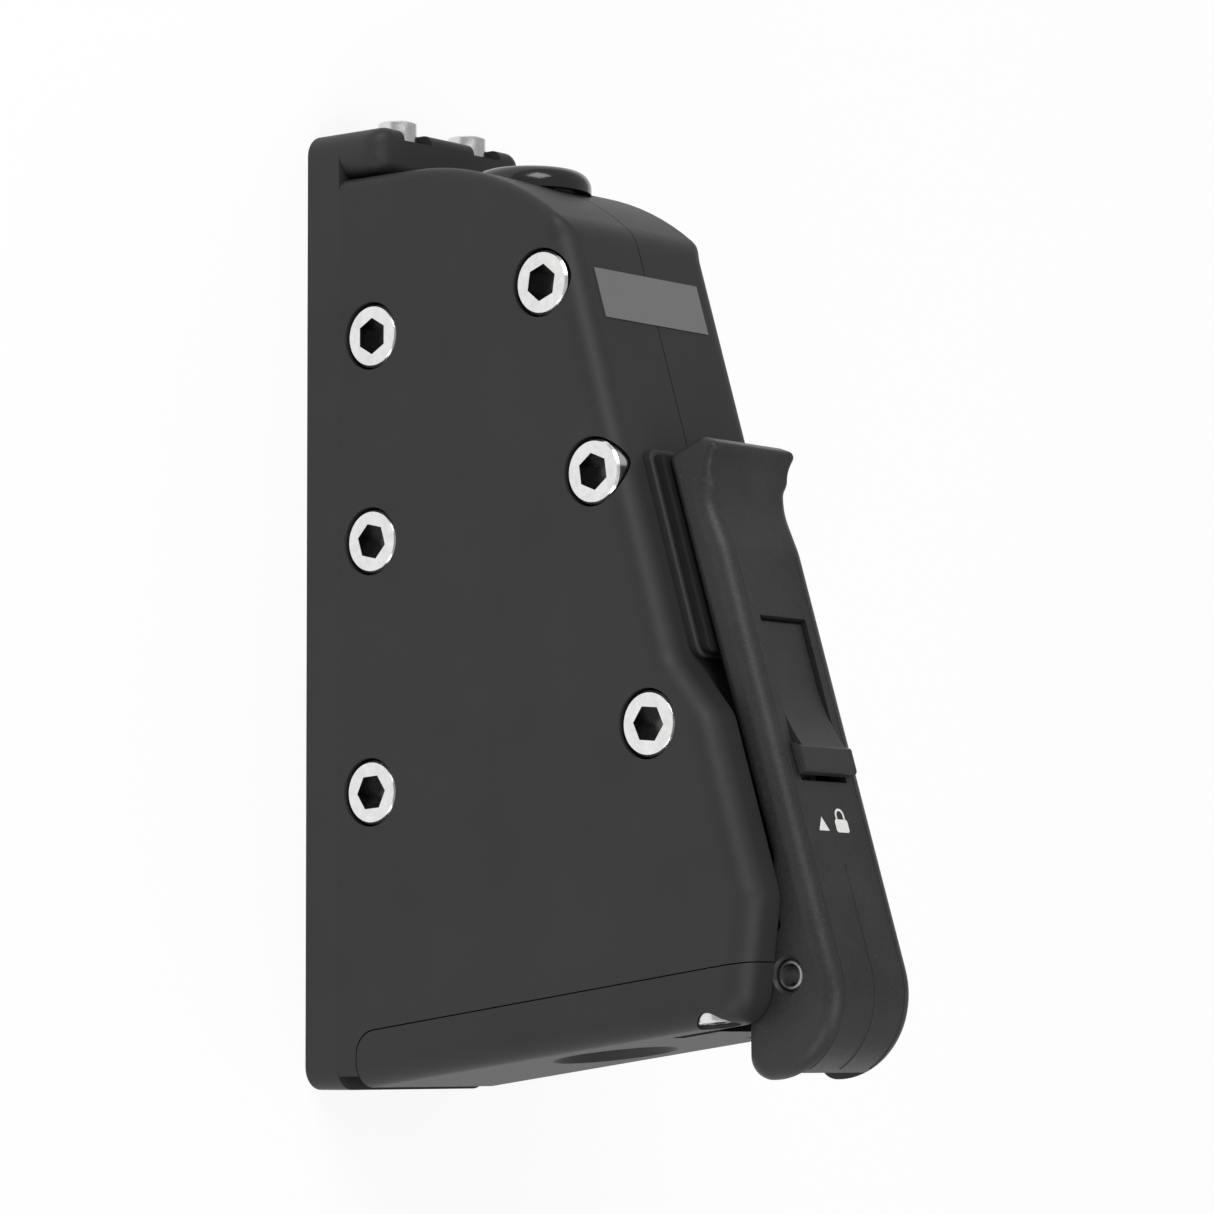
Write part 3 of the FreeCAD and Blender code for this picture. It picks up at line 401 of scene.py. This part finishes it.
# Both screw steels carry painted shade in their sockets; on the small screws it is a flat dark disc of 2.2 mm
# radius.
SCREW_STEEL = TurnedSteel("screw_steel", 0.80, 0.20, BACK_ROW + FRONT_ROW)
SMALL_STEEL = TurnedSteel("small_steel", 0.74, 0.24, LUG_AND_CAP, across="Y", socket_r=2.2, face=0.0)
INNER_STEEL = TurnedSteel("inner_steel", 0.58, 0.32)
SPRING_STEEL = TurnedSteel("spring_steel", 0.50, 0.30)
MARK_INK = PrintInk("mark_ink")

FINISH_OF_NODE = {
    "base_plate": PLATE_COAT, "left_shell": CASING_COAT, "right_shell": CASING_COAT, "end_cap": CAP_COAT,
    "entry_bush": BUSH_GLOSS, "side_screws": SCREW_STEEL, "side_nuts": SCREW_STEEL,
    "link_pivots": INNER_STEEL, "lug_screws": SMALL_STEEL, "lug_inserts": INNER_STEEL,
    "cap_screws": SMALL_STEEL, "cap_inserts": INNER_STEEL,
    "lower_jaw": JAW_COAT, "upper_jaw": JAW_COAT, "jaw_pins": INNER_STEEL, "pin_clips": SPRING_STEEL,
    "lifting_arms": INNER_STEEL, "jaw_spring": SPRING_STEEL, "handle": HANDLE_NYLON, "pivot_pin": INNER_STEEL,
    "handle_bushes": BEARING_BLACK, "pivot_spacers": BEARING_BLACK, "crank_pins": INNER_STEEL,
    "lock_slider": SLIDER_NYLON, "lock_bolt": INNER_STEEL, "bolt_rivets": INNER_STEEL,
    "lock_catch": INNER_STEEL,
    "pad_tray": CAP_COAT, "rest_pad": PAD_RUBBER, "name_plate": LABEL_FILM, "entry_link_left": INNER_STEEL,
    "entry_link_right": INNER_STEEL, "tail_link_left": INNER_STEEL, "tail_link_right": INNER_STEEL,
}


def clear_selection() -> None:
    """Leave edit mode and deselect every object."""
    if bpy.context.object is not None and bpy.context.object.mode != "OBJECT":
        bpy.ops.object.mode_set(mode="OBJECT")
    bpy.ops.object.select_all(action="DESELECT")


def settle(obj: bpy.types.Object, place: Matrix) -> None:
    """Put an object at its place, with the place in its mesh and the object at the origin.

    Args:
        obj: Object that was shaped about the world origin.
        place: Its place in the part's frame.
    """
    clear_selection()
    obj.matrix_world = place
    obj.select_set(True)
    bpy.context.view_layer.objects.active = obj
    bpy.ops.object.transform_apply(location=True, rotation=True, scale=True)


def wear(obj: bpy.types.Object, material: bpy.types.Material) -> None:
    """Give an object one material all over."""
    obj.data.materials.clear()
    obj.data.materials.append(material)


def handle_plane(x: float) -> Matrix:
    """Place on the closed handle's front face.

    Args:
        x: Place along the part, in millimetres.

    Returns:
        A matrix whose X runs along the handle and whose Z stands off its front face.
    """
    slope = math.atan(HANDLE_FRONT_RISE)
    height = HANDLE_FRONT_AT_ZERO + HANDLE_FRONT_RISE * x
    return Matrix.Translation(Vector((x, 0.0, height)) * MM) @ Matrix.Rotation(-slope, 4, "Y")


@dataclass
class Finishing:
    """Dresses every node of the solid model in its own finish."""

    built: dict[str, bpy.types.Material] = field(default_factory=dict)

    def material(self, finish: DarkCoat | TurnedSteel | PrintInk) -> bpy.types.Material:
        """Material of a finish, built once.

        Args:
            finish: The finish.

        Returns:
            Its material.
        """
        if finish.name not in self.built:
            self.built[finish.name] = finish.build()
        return self.built[finish.name]

    def dress(self, nodes: dict[str, bpy.types.Object]) -> None:
        """Assign each node's finish.

        Args:
            nodes: The solid model's objects by name.
        """
        for name, obj in nodes.items():
            material = self.material(FINISH_OF_NODE[name])
            if not obj.material_slots:
                obj.data.materials.append(material)
            for slot in obj.material_slots:
                slot.material = material
            LOG.info("%s wears %s", name, material.name)


@dataclass
class LockMark:
    """Padlock sign and arrow printed on the handle below the slider."""

    x: float = 60.5
    body_long: float = 3.4
    body_wide: float = 5.2
    shackle_r: float = 1.55
    shackle_band: float = 0.62
    shackle_leg: float = 1.1
    ink: float = 0.05
    arrow_long: float = 3.6
    arrow_wide: float = 4.2
    arrow_offset: float = -5.2
    arrow_lead: float = -0.4
    lock_offset: float = 2.6
    corner_cut: float = 0.5
    lift: float = 0.02
    band_overlap: float = 0.1
    band_steps: int = 14

    def plate(self, points: list[tuple[float, float]], name: str) -> bpy.types.Object:
        """Flat patch of ink from its corners, in millimetres along and across the handle.

        Args:
            points: Corners in order, counter-clockwise from above.
            name: Name of the object.

        Returns:
            The new object, shaped about the origin.
        """
        clear_selection()
        bpy.ops.mesh.primitive_circle_add(vertices=len(points), radius=MM, fill_type="NGON")
        obj = bpy.context.object
        obj.name = name
        for vertex, (along, across) in zip(obj.data.vertices, points):
            vertex.co = Vector((along, across, self.lift)) * MM
        bpy.ops.object.mode_set(mode="EDIT")
        bpy.ops.mesh.select_all(action="SELECT")
        bpy.ops.mesh.extrude_region_move(TRANSFORM_OT_translate={"value": (0.0, 0.0, self.ink * MM)})
        bpy.ops.mesh.select_all(action="SELECT")
        bpy.ops.mesh.normals_make_consistent(inside=False)
        bpy.ops.object.mode_set(mode="OBJECT")
        return obj

    def shackle_points(self) -> list[tuple[float, float]]:
        """Outline of the shackle's band.

        Returns:
            Corners of the band, outer side first.
        """
        outer, inner = self.shackle_r + self.shackle_band / 2, self.shackle_r - self.shackle_band / 2
        base = self.band_overlap - self.body_long / 2
        top = base - self.shackle_leg
        turn = [math.pi * k / self.band_steps for k in range(self.band_steps + 1)]
        points = [(base, outer)]
        points += [(top - outer * math.sin(a), outer * math.cos(a)) for a in turn]
        points += [(base, -outer), (base, -inner)]
        points += [(top - inner * math.sin(a), -inner * math.cos(a)) for a in turn]
        points += [(base, inner)]
        return points

    def build(self, finishing: Finishing) -> bpy.types.Object:
        """Make the sign and put it on the handle.

        Args:
            finishing: Where the ink's material comes from.

        Returns:
            The finished piece.
        """
        long, wide = self.body_long / 2, self.body_wide / 2
        cut = self.corner_cut
        body = [(-long, -wide + cut), (-long + cut, -wide), (long - cut, -wide), (long, -wide + cut),
                (long, wide - cut), (long - cut, wide), (-long + cut, wide), (-long, wide - cut)]
        tip = -self.arrow_long / 2
        arrow = [(tip, 0.0), (-tip, self.arrow_wide / 2), (-tip, -self.arrow_wide / 2)]
        body = [(a, b + self.lock_offset) for a, b in body]
        band = [(a, b + self.lock_offset) for a, b in self.shackle_points()]
        arrow = [(a + self.arrow_lead, b + self.arrow_offset) for a, b in arrow]
        outlines = (("lock_mark", body), ("lock_mark_band", band), ("lock_mark_arrow", arrow))
        parts = [self.plate(points, name) for name, points in outlines]
        clear_selection()
        for part in parts:
            part.select_set(True)
        bpy.context.view_layer.objects.active = parts[0]
        bpy.ops.object.join()
        mark = bpy.context.object
        settle(mark, handle_plane(self.x))
        wear(mark, finishing.material(MARK_INK))
        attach(mark, Body.HANDLE.value)
        return mark


@dataclass
class MouldRidges:
    """Thin mould lines that run along the handle's front and round its tail."""

    side_y: float = 12.4
    side_start: float = -8.5
    centre_start: float = 70.0
    bead_r: float = 0.17
    arc_steps: int = 40
    arc_end: float = math.radians(29.0)

    def path(self, start: float, y: float) -> list[Vector]:
        """Line on the handle's surface, along the front and round the tail.

        Args:
            start: Where it starts along the part, in millimetres.
            y: Its place across the part, in millimetres.

        Returns:
            Points in metres.
        """
        slope = math.atan(HANDLE_FRONT_RISE)
        corner_z = HANDLE_FRONT_AT_ZERO + HANDLE_FRONT_RISE * HANDLE_TAIL_X
        reach = HANDLE_TAIL_R * math.tan((math.pi / 2 + slope) / 2)
        centre = Vector((HANDLE_TAIL_X - HANDLE_TAIL_R, y, corner_z - reach))
        first = math.pi / 2 + slope
        points = [Vector((start, y, HANDLE_FRONT_AT_ZERO + HANDLE_FRONT_RISE * start))]
        for k in range(self.arc_steps + 1):
            angle = first + (self.arc_end - first) * k / self.arc_steps
            points.append(centre + Vector((math.cos(angle), 0.0, math.sin(angle))) * HANDLE_TAIL_R)
        return [point * MM for point in points]

    def bead(self, points: list[Vector]) -> bpy.types.Object:
        """Round bead along a line, as a mesh.

        Args:
            points: The line, in metres.

        Returns:
            The new object.
        """
        clear_selection()
        curve = bpy.data.curves.new("mould_ridge", "CURVE")
        curve.dimensions = "3D"
        curve.bevel_depth = self.bead_r * MM
        curve.bevel_resolution = 3
        curve.use_fill_caps = True
        spline = curve.splines.new("POLY")
        spline.points.add(len(points) - 1)
        for target, point in zip(spline.points, points):
            target.co = (*point, 1.0)
        obj = bpy.data.objects.new("mould_ridges", curve)
        bpy.context.collection.objects.link(obj)
        obj.select_set(True)
        bpy.context.view_layer.objects.active = obj
        bpy.ops.object.convert(target="MESH")
        return bpy.context.object

    def build(self, finishing: Finishing) -> bpy.types.Object:
        """Make the ridges.

        Args:
            finishing: Where the handle's material comes from.

        Returns:
            The finished piece.
        """
        lines = ((self.side_start, -self.side_y), (self.side_start, self.side_y), (self.centre_start, 0.0))
        beads = [self.bead(self.path(start, y)) for start, y in lines]
        clear_selection()
        for bead in beads:
            bead.select_set(True)
        bpy.context.view_layer.objects.active = beads[0]
        bpy.ops.object.join()
        ridges = bpy.context.object
        bpy.ops.object.shade_smooth()
        wear(ridges, finishing.material(HANDLE_NYLON))
        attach(ridges, Body.HANDLE.value)
        return ridges


@dataclass
class Studio:
    """Floor, soft lights and camera."""

    eye: tuple[float, float, float] = (114.87, -973.73, 864.66)
    look: tuple[float, float, float] = (-0.08961, 0.77427, -0.62648)
    up: tuple[float, float, float] = (-0.99597, -0.06793, 0.05851)
    lens: float = 145.4
    sensor: float = 36.0
    world_strength: float = 0.55
    floor_glow: float = 0.86
    floor_size: float = 14.0
    aim_height: float = 0.07

    def floor(self) -> None:
        """Pale floor that shows white and keeps a soft shadow."""
        clear_selection()
        bpy.ops.mesh.primitive_plane_add(size=self.floor_size, location=(0.0, 0.0, 0.0))
        floor = bpy.context.object
        floor.name = "floor"
        graph = Graph("floor_white")
        matte = graph.add("ShaderNodeBsdfDiffuse")
        matte.inputs["Color"].default_value = (0.92, 0.92, 0.92, 1.0)
        glow = graph.add("ShaderNodeEmission")
        glow.inputs["Strength"].default_value = 1.0
        mix = graph.add("ShaderNodeMixShader")
        rays = graph.add("ShaderNodeLightPath")
        seen = graph.math("MAXIMUM", rays.outputs["Is Camera Ray"], rays.outputs["Is Glossy Ray"])
        seen = graph.math("MAXIMUM", seen, rays.outputs["Is Transmission Ray"])
        graph.join(graph.math("MULTIPLY", seen, self.floor_glow), mix.inputs["Fac"])
        graph.join(matte.outputs["BSDF"], mix.inputs[1])
        graph.join(glow.outputs["Emission"], mix.inputs[2])
        graph.join(mix.outputs["Shader"], graph.output.inputs["Surface"])
        wear(floor, graph.material)

    def world(self) -> None:
        """Even sky: plain light on the object, white where it is seen directly or through transmission."""
        world = bpy.data.worlds.new("soft_sky")
        world.use_nodes = True
        tree = world.node_tree
        tree.nodes.clear()
        out = tree.nodes.new("ShaderNodeOutputWorld")
        back = tree.nodes.new("ShaderNodeBackground")
        rays = tree.nodes.new("ShaderNodeLightPath")
        seen = tree.nodes.new("ShaderNodeMath")
        seen.operation = "MAXIMUM"
        tree.links.new(rays.outputs["Is Camera Ray"], seen.inputs[0])
        tree.links.new(rays.outputs["Is Transmission Ray"], seen.inputs[1])
        level = tree.nodes.new("ShaderNodeMapRange")
        level.inputs["To Min"].default_value = self.world_strength
        level.inputs["To Max"].default_value = 1.0
        tree.links.new(seen.outputs["Value"], level.inputs["Value"])
        tree.links.new(level.outputs["Result"], back.inputs["Strength"])
        tree.links.new(back.outputs["Background"], out.inputs["Surface"])
        bpy.context.scene.world = world

    def lamp(self, name: str, place: tuple[float, float, float], size: float, power: float) -> None:
        """Add a square soft light aimed at the part.

        Args:
            name: Name of the light.
            place: Where it stands, in metres.
            size: Side of the square, in metres.
            power: Power in watts.
        """
        clear_selection()
        bpy.ops.object.light_add(type="AREA", location=place)
        lamp = bpy.context.object
        lamp.name = name
        lamp.data.size = size
        lamp.data.energy = power
        aim = Vector((0.0, 0.0, self.aim_height)) - Vector(place)
        lamp.rotation_euler = aim.to_track_quat("-Z", "Y").to_euler()

    def camera(self) -> None:
        """Camera with a long lens above the near side."""
        clear_selection()
        bpy.ops.object.camera_add()
        camera = bpy.context.object
        camera.name = "main_camera"
        camera.data.lens = self.lens
        camera.data.sensor_width = self.sensor
        camera.data.clip_start = 0.05
        forward = Vector(self.look).normalized()
        right = forward.cross(Vector(self.up)).normalized()
        upward = right.cross(forward)
        turn = Matrix((right, upward, -forward)).transposed().to_4x4()
        camera.matrix_world = Matrix.Translation(Vector(self.eye) * MM) @ turn
        bpy.context.scene.camera = camera

    def build(self) -> None:
        """Set up the whole studio."""
        bpy.context.scene.view_settings.view_transform = "Standard"
        self.floor()
        self.world()
        self.lamp("entry_light", (-1.6, -0.9, 1.5), 1.2, 26.0)
        self.lamp("front_light", (0.6, -0.3, 2.2), 1.4, 16.0)
        self.lamp("tail_light", (1.7, -1.2, 0.9), 1.0, 10.0)
        self.camera()


def main() -> None:
    """Build the finishes, the trim and the studio."""
    Studio().build()
    finishing = Finishing()
    finishing.dress(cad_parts)
    for piece in (LockMark(), MouldRidges()):
        LOG.info("%s made", piece.build(finishing).name)


if __name__ == "__main__":
    main()
